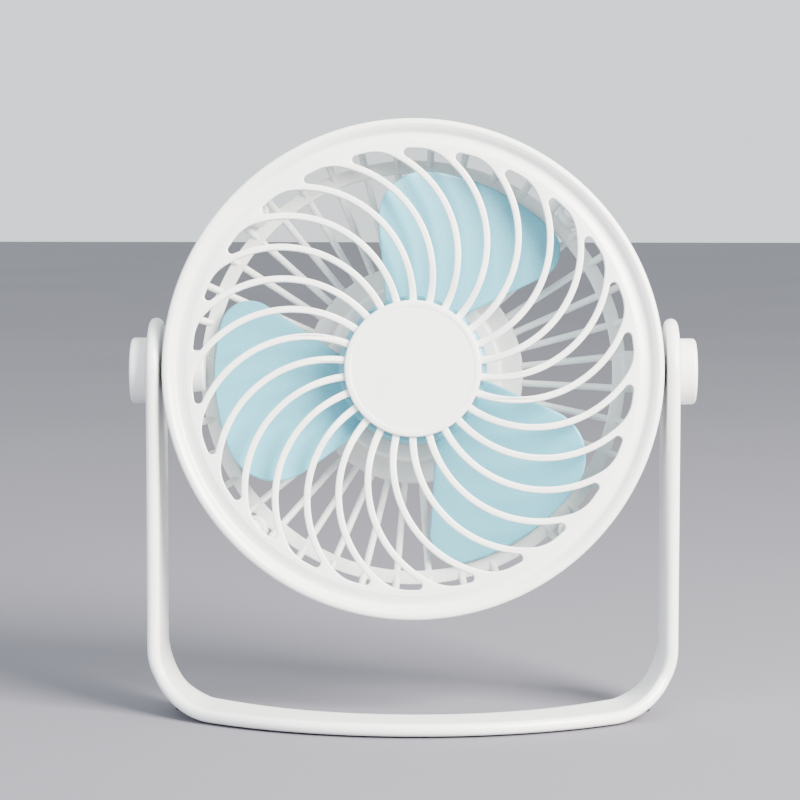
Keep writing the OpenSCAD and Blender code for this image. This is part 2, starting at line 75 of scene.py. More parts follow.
def blankMaterial(name):
    made = bpy.data.materials.new(name)
    made.use_nodes = True
    tree = made.node_tree
    shader = tree.nodes["Principled BSDF"]
    where = addNode(tree, "ShaderNodeTexCoord").outputs["Object"]
    return made, tree, shader, where


def noise(tree, where, sizeMm, detail=3.0):
    made = addNode(tree, "ShaderNodeTexNoise", {"Vector": where, "Scale": 1000.0 / sizeMm, "Detail": detail})
    return made.outputs["Fac"]


def mixColour(tree, factor, first, second):
    made = addNode(tree, "ShaderNodeMix", data_type="RGBA")
    tree.links.new(factor, made.inputs["Factor"])
    made.inputs["A"].default_value = first
    made.inputs["B"].default_value = second
    return made.outputs["Result"]


def bumpFrom(tree, height, depthMm, strength=1.0):
    return addNode(tree, "ShaderNodeBump", {"Height": height, "Distance": depthMm / 1000.0,
                                            "Strength": strength}).outputs["Normal"]


def mouldedPlastic(name, light, dark, rough, grainMm=0.5, grainDepth=0.006, coat=0.0, ior=1.53, glow=0.0):
    made, tree, shader, where = blankMaterial(name)
    broad = noise(tree, where, 28.0, 2.0)                  # slow shade drift from moulding
    fine = noise(tree, where, grainMm, 4.0)
    wave = noise(tree, where, 9.0, 1.0)                    # faint sink marks
    tree.links.new(mixColour(tree, ramp(tree, broad, 0.3, 0.7, 0, 1), colour(light), colour(dark)),
                   shader.inputs["Base Color"])
    tree.links.new(ramp(tree, fine, 0.25, 0.75, rough - 0.05, rough + 0.05), shader.inputs["Roughness"])
    both = addNode(tree, "ShaderNodeMath", {0: fine, 1: ramp(tree, wave, 0, 1, 0, 4.0)}, operation="ADD")
    tree.links.new(bumpFrom(tree, both.outputs[0], grainDepth), shader.inputs["Normal"])
    shader.inputs["IOR"].default_value = ior
    shader.inputs["Coat Weight"].default_value = coat
    shader.inputs["Coat Roughness"].default_value = 0.08
    if glow:
        shader.inputs["Subsurface Weight"].default_value = glow
        shader.inputs["Subsurface Radius"].default_value = (1.0, 0.9, 0.8)
        shader.inputs["Subsurface Scale"].default_value = 0.002
    return made


def workedMetal(name, light, dark, rough, streakMm=0.3, stretch=(1, 1, 1), depth=0.002):
    made, tree, shader, where = blankMaterial(name)
    pulled = addNode(tree, "ShaderNodeMapping", {"Vector": where, "Scale": stretch}).outputs["Vector"]
    streak = noise(tree, pulled, streakMm, 4.0)
    blotch = noise(tree, where, 3.0, 3.0)
    tree.links.new(mixColour(tree, ramp(tree, blotch, 0.3, 0.7, 0, 1), colour(light), colour(dark)),
                   shader.inputs["Base Color"])
    tree.links.new(ramp(tree, streak, 0.2, 0.8, rough - 0.08, rough + 0.1), shader.inputs["Roughness"])
    tree.links.new(bumpFrom(tree, streak, depth), shader.inputs["Normal"])
    shader.inputs["Metallic"].default_value = 1.0
    shader.inputs["IOR"].default_value = 2.5
    return made


def glossPaint(name, light, dark):
    made, tree, shader, where = blankMaterial(name)
    broad = noise(tree, where, 40.0, 2.0)
    peel = noise(tree, where, 1.4, 2.0)                    # orange peel of sprayed paint
    tree.links.new(mixColour(tree, ramp(tree, broad, 0.3, 0.7, 0, 1), colour(light), colour(dark)),
                   shader.inputs["Base Color"])
    tree.links.new(ramp(tree, peel, 0.2, 0.8, 0.3, 0.38), shader.inputs["Roughness"])
    tree.links.new(bumpFrom(tree, peel, 0.006), shader.inputs["Normal"])
    shader.inputs["IOR"].default_value = 1.5
    shader.inputs["Coat Weight"].default_value = 0.25
    shader.inputs["Coat Roughness"].default_value = 0.15
    return made


paints = {
    "white": mouldedPlastic("whiteAbsMoulded", "#e9e9e7", "#e4e4e3", 0.3),
    "strip": glossPaint("whitePaintOnSteel", "#e9e9e8", "#e5e5e4"),
    "teal": mouldedPlastic("tealAbsMoulded", "#66b0c2", "#60aabc", 0.28, glow=0.15),
    "nylon": mouldedPlastic("darkNylonMoulded", "#2a2c2e", "#232527", 0.5, grainDepth=0.01),
    "black": mouldedPlastic("blackPhenolicMoulded", "#1b1b1c", "#151516", 0.45),
    "rubber": mouldedPlastic("blackRubberMoulded", "#202021", "#19191a", 0.75, grainMm=0.3,
                             grainDepth=0.02, ior=1.52),
    "ferrite": mouldedPlastic("sinteredFerriteGround", "#37383a", "#2c2d2f", 0.6, grainMm=0.15,
                              grainDepth=0.01, ior=2.2),
    "leads": mouldedPlastic("redPvcExtruded", "#a3211c", "#951c18", 0.4, grainDepth=0.004),
    "board": mouldedPlastic("greenSolderMaskOnGlassEpoxy", "#1d5a35", "#184f2e", 0.32, grainMm=0.4),
    "screw": workedMetal("zincPlatedSteelRolled", "#b9bbbe", "#a8aaae", 0.3),
    "can": workedMetal("nickelPlatedSteelDrawn", "#b4b6b6", "#a3a5a6", 0.34, stretch=(1, 1, 6)),
    "shaft": workedMetal("hardenedSteelGround", "#c2c4c7", "#b5b7ba", 0.16),
    "core": workedMetal("siliconSteelStamped", "#7b7d80", "#6a6c6f", 0.45),
    "brass": workedMetal("brassTurned", "#c9a65c", "#b8944c", 0.26),
    "bronze": workedMetal("bronzeSintered", "#8f7244", "#7d6239", 0.6, depth=0.01),
    "copper": workedMetal("copperEnamelledWound", "#a8582b", "#934a22", 0.28, streakMm=0.4,
                          stretch=(1, 1, 8), depth=0.03),
    "tin": workedMetal("tinnedBrassStamped", "#bdbab0", "#adaaa0", 0.3),
}
print("materials made")


# mesh helpers; every piece is drawn in mm and then placed

def newPiece(name, mesh, body, paint, stands=(), place=placeHead, angle=40):
    mesh.transform(place)
    obj = bpy.data.objects.new(name, mesh)
    scene.collection.objects.link(obj)
    mesh.materials.clear()
    mesh.materials.append(paints[paint])
    mesh.shade_smooth()
    mesh.set_sharp_from_angle(angle=radians(angle))
    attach(obj, body)
    if stands:
        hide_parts(*stands)
    return obj


def toMesh(name, work, weld=0.002):
    bmesh.ops.remove_doubles(work, verts=work.verts, dist=weld)
    bmesh.ops.dissolve_degenerate(work, edges=work.edges, dist=weld / 4)
    bmesh.ops.recalc_face_normals(work, faces=work.faces)
    mesh = bpy.data.meshes.new(name)
    work.to_mesh(mesh)
    work.free()
    return mesh


def ray(turn):
    return Vector((cos(turn), sin(turn)))


def rounded(points, steps=6):
    # points are (r, z, fillet); a fillet of 0 keeps the corner
    out = []
    count = len(points)
    for i, (x, y, fillet) in enumerate(points):
        here = Vector((x, y))
        if not fillet:
            out.append(here)
            continue
        before = (Vector(points[i - 1][:2]) - here)
        after = (Vector(points[(i + 1) % count][:2]) - here)
        half = before.angle(after) / 2
        reach = min(fillet / max(sin(half) / cos(half), 1e-4), before.length * 0.49, after.length * 0.49)
        size = reach * sin(half) / cos(half)
        a, b = here + before.normalized() * reach, here + after.normalized() * reach
        centre = here + (before.normalized() + after.normalized()).normalized() * (size / sin(half))
        startTurn, endTurn = atan2(*(a - centre).yx), atan2(*(b - centre).yx)
        span = (endTurn - startTurn + pi) % (2 * pi) - pi
        out += [centre + size * ray(startTurn + span * k / steps) for k in range(steps + 1)]
    return out


def lathe(work, points, segments=128, shift=(0, 0, 0), closed=True):
    rings = []
    for p in points:
        if abs(p[0]) < 1e-4:
            rings.append([work.verts.new((shift[0], shift[1], p[1] + shift[2]))])
        else:
            rings.append([work.verts.new((shift[0] + p[0] * cos(2 * pi * k / segments),
                                          shift[1] + p[0] * sin(2 * pi * k / segments), p[1] + shift[2]))
                          for k in range(segments)])
    pairs = list(zip(rings, rings[1:] + rings[:1])) if closed else list(zip(rings, rings[1:]))
    for a, b in pairs:
        if len(a) == 1 and len(b) == 1:
            continue
        for k in range(segments):
            n = (k + 1) % segments
            if len(a) == 1:
                work.faces.new((a[0], b[k], b[n]))
            elif len(b) == 1:
                work.faces.new((a[k], b[0], a[n]))
            else:
                work.faces.new((a[k], b[k], b[n], a[n]))
    return rings


def sweep(work, centres, frames, section, closeEnds=True):
    # frames gives (side, up) for each centre; section is a list of (side, up) offsets
    rings = [[work.verts.new(c + s * a + u * b) for a, b in section] for c, (s, u) in zip(centres, frames)]
    count = len(section)
    for a, b in zip(rings, rings[1:]):
        for k in range(count):
            n = (k + 1) % count
            work.faces.new((a[k], a[n], b[n], b[k]))
    if closeEnds:
        work.faces.new(rings[0][::-1])
        work.faces.new(rings[-1])


def ovalSection(width, depth, corner, steps=4):
    hw, hd = width / 2, depth / 2
    out = []
    for cx, cy, start in ((hw - corner, hd - corner, 0), (-hw + corner, hd - corner, 90),
                          (-hw + corner, -hd + corner, 180), (hw - corner, -hd + corner, 270)):
        turns = [radians(start + 90 * k / steps) for k in range(steps + 1)]
        out += [(cx + corner * cos(turn), cy + corner * sin(turn)) for turn in turns]
    return out


def plate(work, stations, thick, edge, across, place, capStart=False):
    # stations are (front, frontIn, rear, rearIn) in flat coordinates; place maps (s, t, h) into space
    turns = [radians(90 * k / 4) for k in range(5)]
    half = thick / 2
    rings = []
    for front, frontIn, rear, rearIn in stations:
        loop = []
        a, b = front + frontIn * edge, rear + rearIn * edge
        if (b - a).dot(rear - front) < 0:
            a = b = (a + b) / 2
        loop += [(a.lerp(b, k / across), half) for k in range(across)]
        for sign in (1, -1):
            for turn in (turns if sign > 0 else turns[::-1]):
                inset = edge * (1 - sin(turn))
                spot = rear + (b - rear) * (inset / edge)
                loop.append((spot, sign * (half - edge + edge * cos(turn))))
        loop += [(b.lerp(a, k / across), -half) for k in range(1, across)]
        for sign in (-1, 1):
            for turn in (turns if sign < 0 else turns[::-1]):
                inset = edge * (1 - sin(turn))
                spot = front + (a - front) * (inset / edge)
                loop.append((spot, sign * (half - edge + edge * cos(turn))))
        rings.append([work.verts.new(place(p.x, p.y, h)) for p, h in loop])
    count = len(rings[0])
    for a, b in zip(rings, rings[1:]):
        for k in range(count):
            n = (k + 1) % count
            work.faces.new((a[k], a[n], b[n], b[k]))
    if capStart:
        work.faces.new(rings[0])


def radialTree():
    tree = bpy.data.node_groups.new("copiesAroundAxis", "GeometryNodeTree")
    tree.interface.new_socket("Geometry", in_out="INPUT", socket_type="NodeSocketGeometry")
    countIn = tree.interface.new_socket("Count", in_out="INPUT", socket_type="NodeSocketInt")
    firstIn = tree.interface.new_socket("First Turn", in_out="INPUT", socket_type="NodeSocketFloat")
    paintIn = tree.interface.new_socket("Finish", in_out="INPUT", socket_type="NodeSocketMaterial")
    tree.interface.new_socket("Geometry", in_out="OUTPUT", socket_type="NodeSocketGeometry")
    given = addNode(tree, "NodeGroupInput")
    spots = addNode(tree, "GeometryNodePoints", {"Count": given.outputs["Count"]})
    index = addNode(tree, "GeometryNodeInputIndex").outputs["Index"]
    share = addNode(tree, "ShaderNodeMath", {0: index, 1: given.outputs["Count"]}, operation="DIVIDE")
    turn = addNode(tree, "ShaderNodeMath", {0: share.outputs[0], 1: 2 * pi, 2: given.outputs["First Turn"]},
                   operation="MULTIPLY_ADD").outputs[0]
    about = addNode(tree, "ShaderNodeCombineXYZ", {"Z": turn}).outputs["Vector"]
    copies = addNode(tree, "GeometryNodeInstanceOnPoints",
                     {"Points": spots.outputs[0], "Instance": given.outputs["Geometry"], "Rotation": about})
    real = addNode(tree, "GeometryNodeRealizeInstances", {"Geometry": copies.outputs[0]})
    finish = addNode(tree, "GeometryNodeSetMaterial",
                     {"Geometry": real.outputs[0], "Material": given.outputs["Finish"]})
    addNode(tree, "NodeGroupOutput", {"Geometry": finish.outputs[0]})
    return tree, countIn.identifier, firstIn.identifier, paintIn.identifier


copyTree, countKey, firstKey, paintKey = radialTree()


def bakedMesh(data, change=None):
    # the plain mesh of a curve, or of a mesh with the modifiers that change gives it
    holder = bpy.data.objects.new("holder", data)
    scene.collection.objects.link(holder)
    if change:
        change(holder)
    graph = bpy.context.evaluated_depsgraph_get()
    made = bpy.data.meshes.new_from_object(holder.evaluated_get(graph))
    bpy.data.objects.remove(holder)
    return made


def around(mesh, count, firstDegrees, paint):
    def copies(holder):
        step = holder.modifiers.new("copies", "NODES")
        step.node_group = copyTree
        step[countKey] = count
        step[firstKey] = radians(firstDegrees)
        step[paintKey] = paints[paint]

    return bakedMesh(mesh, copies)


def cutHoles(mesh, tools):
    # tools is a list of closed meshes taken away from mesh, in mm
    cutters = [bpy.data.objects.new("cutter", tool) for tool in tools]

    def cuts(holder):
        for i, cutter in enumerate(cutters):
            scene.collection.objects.link(cutter)
            step = holder.modifiers.new("cut" + str(i), "BOOLEAN")
            step.operation = "DIFFERENCE"
            step.solver = "EXACT"
            step.object = cutter

    made = bakedMesh(mesh, cuts)
    for cutter in cutters:
        bpy.data.objects.remove(cutter)
    return made


def bothSides(mesh):
    # a part drawn along +Z, turned to each end of the knob axis
    pair = []
    for side in (1, -1):
        copy = mesh.copy()
        copy.transform(Matrix.Rotation(radians(90 * side), 4, "Y"))
        pair.append(copy)
    return pair


def rodTool(radius, low, high, shift=(0, 0), axis="Z", segments=48):
    work = bmesh.new()
    outline = [Vector(p) for p in ((0, low), (radius, low), (radius, high), (0, high))]
    lathe(work, outline, segments, closed=False)
    if axis == "X":
        bmesh.ops.rotate(work, verts=work.verts, matrix=Matrix.Rotation(radians(90), 3, "Y"))
    offset = (shift[0], shift[1], 0) if axis == "Z" else (0, shift[0], shift[1])
    bmesh.ops.translate(work, verts=work.verts, vec=offset)
    return toMesh("tool", work)


def boxTool(low, high, turn=0):
    work = bmesh.new()
    bmesh.ops.create_cube(work, size=1)
    for v in work.verts:
        v.co = Vector([low[i] + (v.co[i] + 0.5) * (high[i] - low[i]) for i in range(3)])
    bmesh.ops.rotate(work, verts=work.verts, matrix=Matrix.Rotation(radians(turn), 3, "Z"))
    return toMesh("tool", work)


def merged(name, meshes, weld=0.0):
    work = bmesh.new()
    for m in meshes:
        work.from_mesh(m)
    if weld:
        bmesh.ops.remove_doubles(work, verts=work.verts, dist=weld)
    bmesh.ops.recalc_face_normals(work, faces=work.faces)
    mesh = bpy.data.meshes.new(name)
    work.to_mesh(mesh)
    work.free()
    return mesh


# stand

strip = {"thick": 3.8, "wide": 32.0, "middle": 17.0, "bow": 33.0, "bend": 20.0, "low": 0.5, "edge": 1.7,
         "hole": 4.0, "heel": 2.0, "heelTurn": 14.0, "heelTop": 20.5}


def stripPath(s):
    # s runs along the strip's middle surface from the middle of the base; returns place, outward side
    r = strip["bend"] - strip["thick"] / 2
    flat = fan["armX"] + strip["thick"] - strip["bend"]
    side = 1 if s >= 0 else -1
    d = abs(s)
    base = strip["low"] + strip["thick"] / 2
    if d <= flat:
        return Vector((side * d, 0, base)), Vector((0, 0, -1))
    if d <= flat + r * pi / 2:
        turn = (d - flat) / r
        return (Vector((side * (flat + r * sin(turn)), 0, base + r - r * cos(turn))),
                Vector((side * sin(turn), 0, -cos(turn))))
    return Vector((side * (flat + r), 0, base + r + d - flat - r * pi / 2)), Vector((side, 0, 0))


def makeStand():
    r = strip["bend"] - strip["thick"] / 2
    flat = fan["armX"] + strip["thick"] - strip["bend"]
    half = strip["wide"] / 2
    armStart = flat + r * pi / 2
    # how far along the strip the pivot is
    top = armStart + fan["pivotZ"] - strip["low"] - strip["thick"] / 2 - r
    frontMid, rearMid = -half - strip["bow"], -half - strip["bow"] + strip["middle"]
    frontR = (fan["armX"] ** 2 + strip["bow"] ** 2) / (2 * strip["bow"])
    rearBow = half - rearMid
    chord = fan["armX"] - 1
    rearR = (chord ** 2 + rearBow ** 2) / (2 * rearBow)

    def edges(d):
        x = min(stripPath(d)[0].x, fan["armX"])
        front = frontMid + frontR - sqrt(frontR ** 2 - x ** 2)
        x = min(x, chord)
        rear = rearMid + rearR - sqrt(rearR ** 2 - x ** 2)
        if d > armStart * 0.999:
            front, rear = -half, half
        else:      # the rear edge sweeps forward round the bend
            drop = min(max(strip["heelTop"] - stripPath(d)[0].z, 0), strip["heelTurn"])
            rear = min(rear, strip["heel"] + sqrt(strip["heelTurn"] ** 2 - drop ** 2))
        return Vector((d, max(front, frontMid))), Vector((d, min(rear, half)))

    side = []
    for k in range(1, 33):
        side.append(edges(flat * k / 32))
    for k in range(1, 25):
        side.append(edges(flat + r * pi / 2 * k / 24))
    for k in range(1, 13):
        side.append(edges(armStart + (top - armStart) * k / 12))
    for k in range(1, 25):
        turn = radians(90 * k / 24)
        out = half * cos(turn)
        side.append((Vector((top + half * sin(turn), -out)), Vector((top + half * sin(turn), out))))
    # smooth the rear edge where the bow meets the straight arm
    for _ in range(14):
        rears = [p[1].copy() for p in side]
        for i in range(20, 60):
            side[i][1].y = (rears[i - 1].y + 2 * rears[i].y + rears[i + 1].y) / 4
    full = [(Vector((-a.x, a.y)), Vector((-b.x, b.y))) for a, b in side[::-1]]
    full.append((Vector((0, frontMid)), Vector((0, rearMid))))
    full += side
    stations = []
    for i, (a, b) in enumerate(full):
        low, high = max(i - 1, 0), min(i + 1, len(full) - 1)
        alongA = (full[high][0] - full[low][0]).normalized()
        alongB = (full[high][1] - full[low][1]).normalized()
        if i in (0, len(full) - 1):
            inward = Vector((1 if i == 0 else -1, 0))
            stations.append((a, inward, b, inward))
        else:
            stations.append((a, Vector((-alongA.y, alongA.x)), b, Vector((alongB.y, -alongB.x))))

    def place(s, t, h):
        spot, out = stripPath(s)
        return spot + out * h + Vector((0, t, 0))

    work = bmesh.new()
    plate(work, stations, strip["thick"], strip["edge"], 8, place)
    mesh = toMesh("stand", work, 0.01)
    tools = [rodTool(strip["hole"] - 0.05, s * 70, s * 90, (0, fan["pivotZ"]), "X", 64) for s in (1, -1)]
    mesh = cutHoles(mesh, tools)
    return newPiece("standFrame", mesh, "stand", "strip", ["stand_frame"], placeStand, 50)


makeStand()
print("stand made")


# front grille

grille = {"ribs": 26, "curve": 33.909, "first": 7.0, "half": 1.0, "flare": 0.12, "deep": 1.8, "edge": 0.45,
          "slot": 66.1, "wideTurn": 12.0, "tightTurn": 1.3, "flange": 67.7, "seat": 13.98, "crest": 15.92,
          "lip": 15.72, "riseFrom": 20.8, "riseOver": 13.5, "fallFrom": 65.5, "hubEnd": 19.4, "plate": 18.4,
          "post": 67.8}


def faceTop(r):
    # height of the ribs' and the flange's front face
    crest, lip, seat = grille["crest"], grille["lip"], grille["seat"]
    rise = min(max((r - grille["riseFrom"]) / grille["riseOver"], 0), 1)
    fall = min(max((r - grille["fallFrom"]) / (grille["flange"] - grille["fallFrom"]), 0), 1)
    return seat + (crest - seat) * rise * rise * (3 - 2 * rise) - (crest - lip) * fall * fall


def meetingPoint(first, firstR, secondR):
    # where a circle about first meets one about the origin, on the outer side
    d = first.length
    along = (firstR ** 2 - secondR ** 2 - d ** 2) / (-2 * d)
    high = sqrt(secondR ** 2 - along ** 2)
    unit = first.normalized()
    spots = [unit * along + Vector((-unit.y, unit.x)) * high * s for s in (1, -1)]
    return max(spots, key=lambda p: p.x)


def slotOutline():
    # one slot's outline: concave rib edge, wide turn, outer arc, tight turn, the next rib's convex edge
    edge, curve = grille["edge"], grille["curve"]
    middle = Vector((fan["cap"], curve))
    outer = grille["slot"] + edge
    pitch = 2 * pi / grille["ribs"]

    def ribEdge(turn, side):
        r = (middle + curve * Vector((sin(turn), -cos(turn)))).length
        half = grille["half"] + grille["flare"] * min(max((32 - r) / 11, 0), 1) - edge
        return middle + (curve - side * half) * Vector((sin(turn), -cos(turn)))

    def arcPoints(centre, r, start, end, steps):
        return [centre + r * ray(start + (end - start) * k / steps) for k in range(steps + 1)]

    wide = meetingPoint(middle, curve - grille["half"] - grille["wideTurn"],
                        grille["slot"] - grille["wideTurn"])
    tight = meetingPoint(middle, curve + grille["half"] + grille["tightTurn"],
                         grille["slot"] - grille["tightTurn"])
    wideFrom, tightTo = atan2(*(wide - middle).yx), atan2(*(tight - middle).yx)
    wideAt, tightAt = atan2(wide.y, wide.x), atan2(tight.y, tight.x)
    inner = [ribEdge((wideFrom + pi / 2) * k / 56, 1) for k in range(56)]
    inner += arcPoints(wide, grille["wideTurn"] + edge, wideFrom, wideAt, 12)
    inner += arcPoints(Vector((0, 0)), outer, wideAt, tightAt + pitch, 4)[1:-1]
    far = arcPoints(tight, grille["tightTurn"] + edge, tightAt, tightTo + pi, 12)
    far += [ribEdge((tightTo + pi / 2) * (1 - k / 56), -1) for k in range(1, 57)]
    inside = grille["half"] + grille["flare"] - edge
    far.append(Vector((grille["hubEnd"], -inside)))
    turned = Matrix.Rotation(pitch, 2)
    return [Vector((grille["hubEnd"], inside))] + inner + [turned @ p for p in far]


def isFlat(face):
    return abs(face.normal.z) > 0.999


def makeFace():
    shape = bpy.data.curves.new("face", "CURVE")
    shape.dimensions = "2D"
    shape.fill_mode = "BOTH"
    shape.extrude = grille["deep"] / 2 - grille["edge"]
    shape.bevel_depth = grille["edge"]
    shape.bevel_resolution = 2
    rims = [[r * ray(2 * pi * k / n) for k in range(n)]
            for r, n in ((grille["flange"], 312), (grille["plate"], 104))]
    slot = slotOutline()
    first = radians(grille["first"])
    loops = rims + [[Matrix.Rotation(first + 2 * pi * k / grille["ribs"], 2) @ p for p in slot]
                     for k in range(grille["ribs"])]
    for loop in loops:
        line = shape.splines.new("POLY")
        line.points.add(len(loop) - 1)
        line.points.foreach_set("co", [c for p in loop for c in (p.x, p.y, 0, 1)])
        line.use_cyclic_u = True
    mesh = bakedMesh(shape)
    work = bmesh.new()
    work.from_mesh(mesh)
    bmesh.ops.remove_doubles(work, verts=work.verts, dist=0.001)
    work.normal_update()
    for _ in range(6):      # short triangles across the ribs
        flat = [f for f in work.faces if isFlat(f)]
        inner = [e for e in work.edges if len(e.link_faces) == 2 and all(isFlat(f) for f in e.link_faces)]
        bmesh.ops.beautify_fill(work, faces=flat, edges=inner, method="ANGLE")
    for v in work.verts:
        v.co.z += faceTop(hypot(v.co.x, v.co.y)) - grille["deep"] / 2
    work.to_mesh(mesh)
    work.free()
    return mesh


def makeGrille():
    top, flange = fan["front"], grille["flange"]
    work = bmesh.new()
    ring = rounded([
        (flange, 14.4, 0), (flange, grille["lip"], 0), (69.5, 15.15, 3), (70.8, 15.0, 1.2), (72.2, 16.3, 1.5),
        (73.4, top, 1.0), (fan["rim"], top - 0.3, 1.5), (fan["rim"], fan["seam"] + 0.2, 0.25),
        (fan["rim"] - 2, fan["seam"] + 0.2, 0.25), (fan["rim"] - 2, top - 4, 1.0), (70.3, top - 4, 2.0)], 5)
    lathe(work, ring, 312)
    for turn in (45, 135, 225, 315):      # hollow posts for the rim screws
        lathe(work, [Vector(p) for p in ((1.35, 3.1), (2.7, 3.1), (2.7, 14.0), (1.35, 14.0))], 32,
              (grille["post"] * cos(radians(turn)), grille["post"] * sin(radians(turn)), 0))
    disc = [(0, 12.2, 0), (18.6, 12.2, 0), (18.6, grille["seat"], 0), (0, grille["seat"], 0)]
    lathe(work, rounded(disc), 104, closed=False)
    ringMesh = toMesh("ring", work)
    newPiece("frontGrille", merged("grille", [ringMesh, makeFace()], 0.01), "head", "white",
             ["front_grille"])


def makeCap():
    work = bmesh.new()
    low, high = 14.0, 15.2
    lathe(work, rounded([
        (0, low, 0), (fan["cap"], low, 0.15), (fan["cap"], high - 0.05, 0.7), (fan["cap"] - 1.5, high, 0.5),
        (fan["cap"] - 2.1, high - 0.18, 0.8), (fan["cap"] - 7, high - 0.25, 4), (0, high - 0.3, 0)], 5),
        160, closed=False)
    newPiece("centreCap", toMesh("cap", work), "head", "white", ["centre_cap"])


makeGrille()
makeCap()
print("front grille made")


# rear cage

cage = {"spokes": 40, "thick": 2.2, "rimIn": 71.3, "back": -3.0, "tie": 62.85, "tieWide": 4.1, "boss": 6.2,
        "bossIn": 63.3, "bossOut": 75.4, "stem": 2.5, "screwAt": 67.9}


def makeCage():
    work = bmesh.new()
    rim, seam = fan["rim"], fan["seam"]
    lathe(work, rounded([
        (cage["rimIn"], cage["back"], 0.8), (rim - 0.4, cage["back"], 1.6), (rim - 0.4, seam, 0.25),
        (rim - 2.1, seam, 0.1), (rim - 2.1, seam + 3, 0.4), (cage["rimIn"], seam + 3, 0.4)], 5), 256)
    # where a spoke starts and ends
    inR, outR = fan["hub"] - 1, cage["rimIn"] + 1.9
    inZ, outZ = fan["hubZ"] - 1.5, cage["back"] + cage["thick"] / 2 + 2.2
    slope = (outZ - inZ) / (outR - inR)
    tieZ = inZ + (cage["tie"] - inR) * slope
    tieIn, tieOut = cage["tie"] - cage["tieWide"] / 2, cage["tie"] + cage["tieWide"] / 2
    lathe(work, rounded([(tieIn, tieZ - 0.9, 0.4), (tieOut, tieZ - 0.9, 0.4), (tieOut, tieZ + 0.9, 0.4),
                         (tieIn, tieZ + 0.9, 0.4)], 3), 256)
    hub, hubZ = fan["hub"], fan["hubZ"]
    lathe(work, rounded([
        (12.3, hubZ - 2, 0.2), (hub - 2, hubZ - 2, 0.6), (hub - 2, hubZ - 4, 0.2), (hub, hubZ - 4, 0.25),
        (hub, hubZ, 0.9), (12.3, hubZ, 0.2)], 4), 192)
    for turn in (90, 210, 330):      # posts for the cover screws
        lathe(work, [Vector(p) for p in ((1.35, -33.1), (2.7, -33.1), (2.7, -20.5), (1.35, -20.5))], 32,
              (25.5 * cos(radians(turn)), 25.5 * sin(radians(turn)), 0))
    for turn in (45, 135, 225, 315):      # bosses for the rim screws
        lathe(work, rounded([(1.4, 3.0, 0), (2.8, 3.0, 0), (2.8, 5.0, 0.2), (4.0, 5.0, 0.5), (4.0, -6.0, 0.5),
                             (2.7, -6.0, 0.2), (2.7, -3.8, 0), (1.4, -3.8, 0)], 3), 48,
              (cage["screwAt"] * cos(radians(turn)), cage["screwAt"] * sin(radians(turn)), 0))
    solid = toMesh("cageRim", work)
    work = bmesh.new()
    run = Vector((outR - inR, 0, outZ - inZ))
    along = run.normalized()
    side = Vector((0, 1, 0))
    up = along.cross(side) * -1
    centres, frames = [], []
    for k in range(9):
        size = 1.0 - 0.08 * (1 - k / 8)      # a little thinner at the hub
        centres.append(Vector((inR, 0, inZ)) + run * (k / 8))
        frames.append((side * size, up * size))
    sweep(work, centres, frames, ovalSection(cage["thick"], cage["thick"], cage["thick"] * 0.46, 4))
    spokes = around(toMesh("spoke", work), cage["spokes"], 4.5, "white")
    work = bmesh.new()
    wide, low, high, stem = cage["boss"], cage["bossIn"], cage["bossOut"], cage["stem"]
    lathe(work, rounded([
        (1.35, low + 0.6, 0), (0, low + 0.6, 0), (0, low, 0), (wide, low, 0.7), (wide, high, 0.5),
        (stem, high, 0.2), (stem, 67.3, 0), (1.35, 67.3, 0)], 4)[1:], 64, closed=False)
    boss = toMesh("boss", work)
    newPiece("rearCage", merged("cage", [solid, spokes] + bothSides(boss)), "head",
             "white", ["rear_cage"])


makeCage()
print("rear cage made")


# knobs

knob = {"in": 80.3, "out": 85.6, "r": 10.0, "stem": 2.45, "stemIn": 67.4, "cap": 5.0, "recess": 3.2}


def makeKnobs():
    work = bmesh.new()
    wide, low, high, stem, lid = knob["r"], knob["in"], knob["out"], knob["stem"], knob["cap"]
    seat = high - 0.8
    lathe(work, rounded([
        (1.35, knob["stemIn"], 0.0), (stem, knob["stemIn"], 0.3), (stem, low, 0.2), (wide, low, 0.8),
        (wide, high, 1.1), (lid + 0.05, high, 0.12), (lid + 0.05, seat, 0), (knob["recess"], seat, 0),
        (knob["recess"], high - 2.6, 0), (1.35, high - 2.6, 0)], 6), 96)
    one = toMesh("knob", work)
    work = bmesh.new()
    lathe(work, rounded([(0, seat, 0), (lid, seat, 0.1), (lid, high, 0.3), (0, high - 0.15, 0)], 4), 96,
          closed=False)
    cap = toMesh("knobCap", work)
    for label, mesh, node in (("sideKnobs", one, "side_knobs"), ("knobCaps", cap, "knob_caps")):
        newPiece(label, merged(label, bothSides(mesh)), "head", "white", [node])


makeKnobs()
print("knobs made")


# motor housing and back cover

shell = {"r": 27.5, "wall": 1.6, "front": -10.0, "nose": 3.15}


def makeHousing():
    work = bmesh.new()
    back = fan["hubZ"] + 0.02
    r, wall, front, nose = shell["r"], shell["wall"], shell["front"], shell["nose"]
    lathe(work, rounded([
        (r, back, 0.2), (r, back + 2.0, 0.1), (r - 0.5, back + 2.2, 0.1), (r - 0.5, back + 2.8, 0.1),
        (r, back + 3.0, 0.1), (r, front, 1.6), (14.5, front, 0.5), (14.2, front - 0.5, 0.3),
        (nose, front - 0.5, 0.3), (nose, front - wall, 0.1), (r - wall, front - wall, 0.6),
        (r - wall, back, 0.1)], 4), 160)
    holes = [rodTool(0.95, front - 3, front + 2, (x, 0)) for x in (7.5, -7.5)]      # motor screws
    mesh = cutHoles(toMesh("housing", work), holes)
    newPiece("motorHousing", mesh, "head", "white", ["motor_housing"], angle=35)


cover = {"out": -35.0, "wall": 1.8, "top": -23.2, "screwAt": 25.5, "button": 5.05, "buttonY": 6.5,
         "portY": -9.0, "portWide": 9.4, "portTall": 3.6}


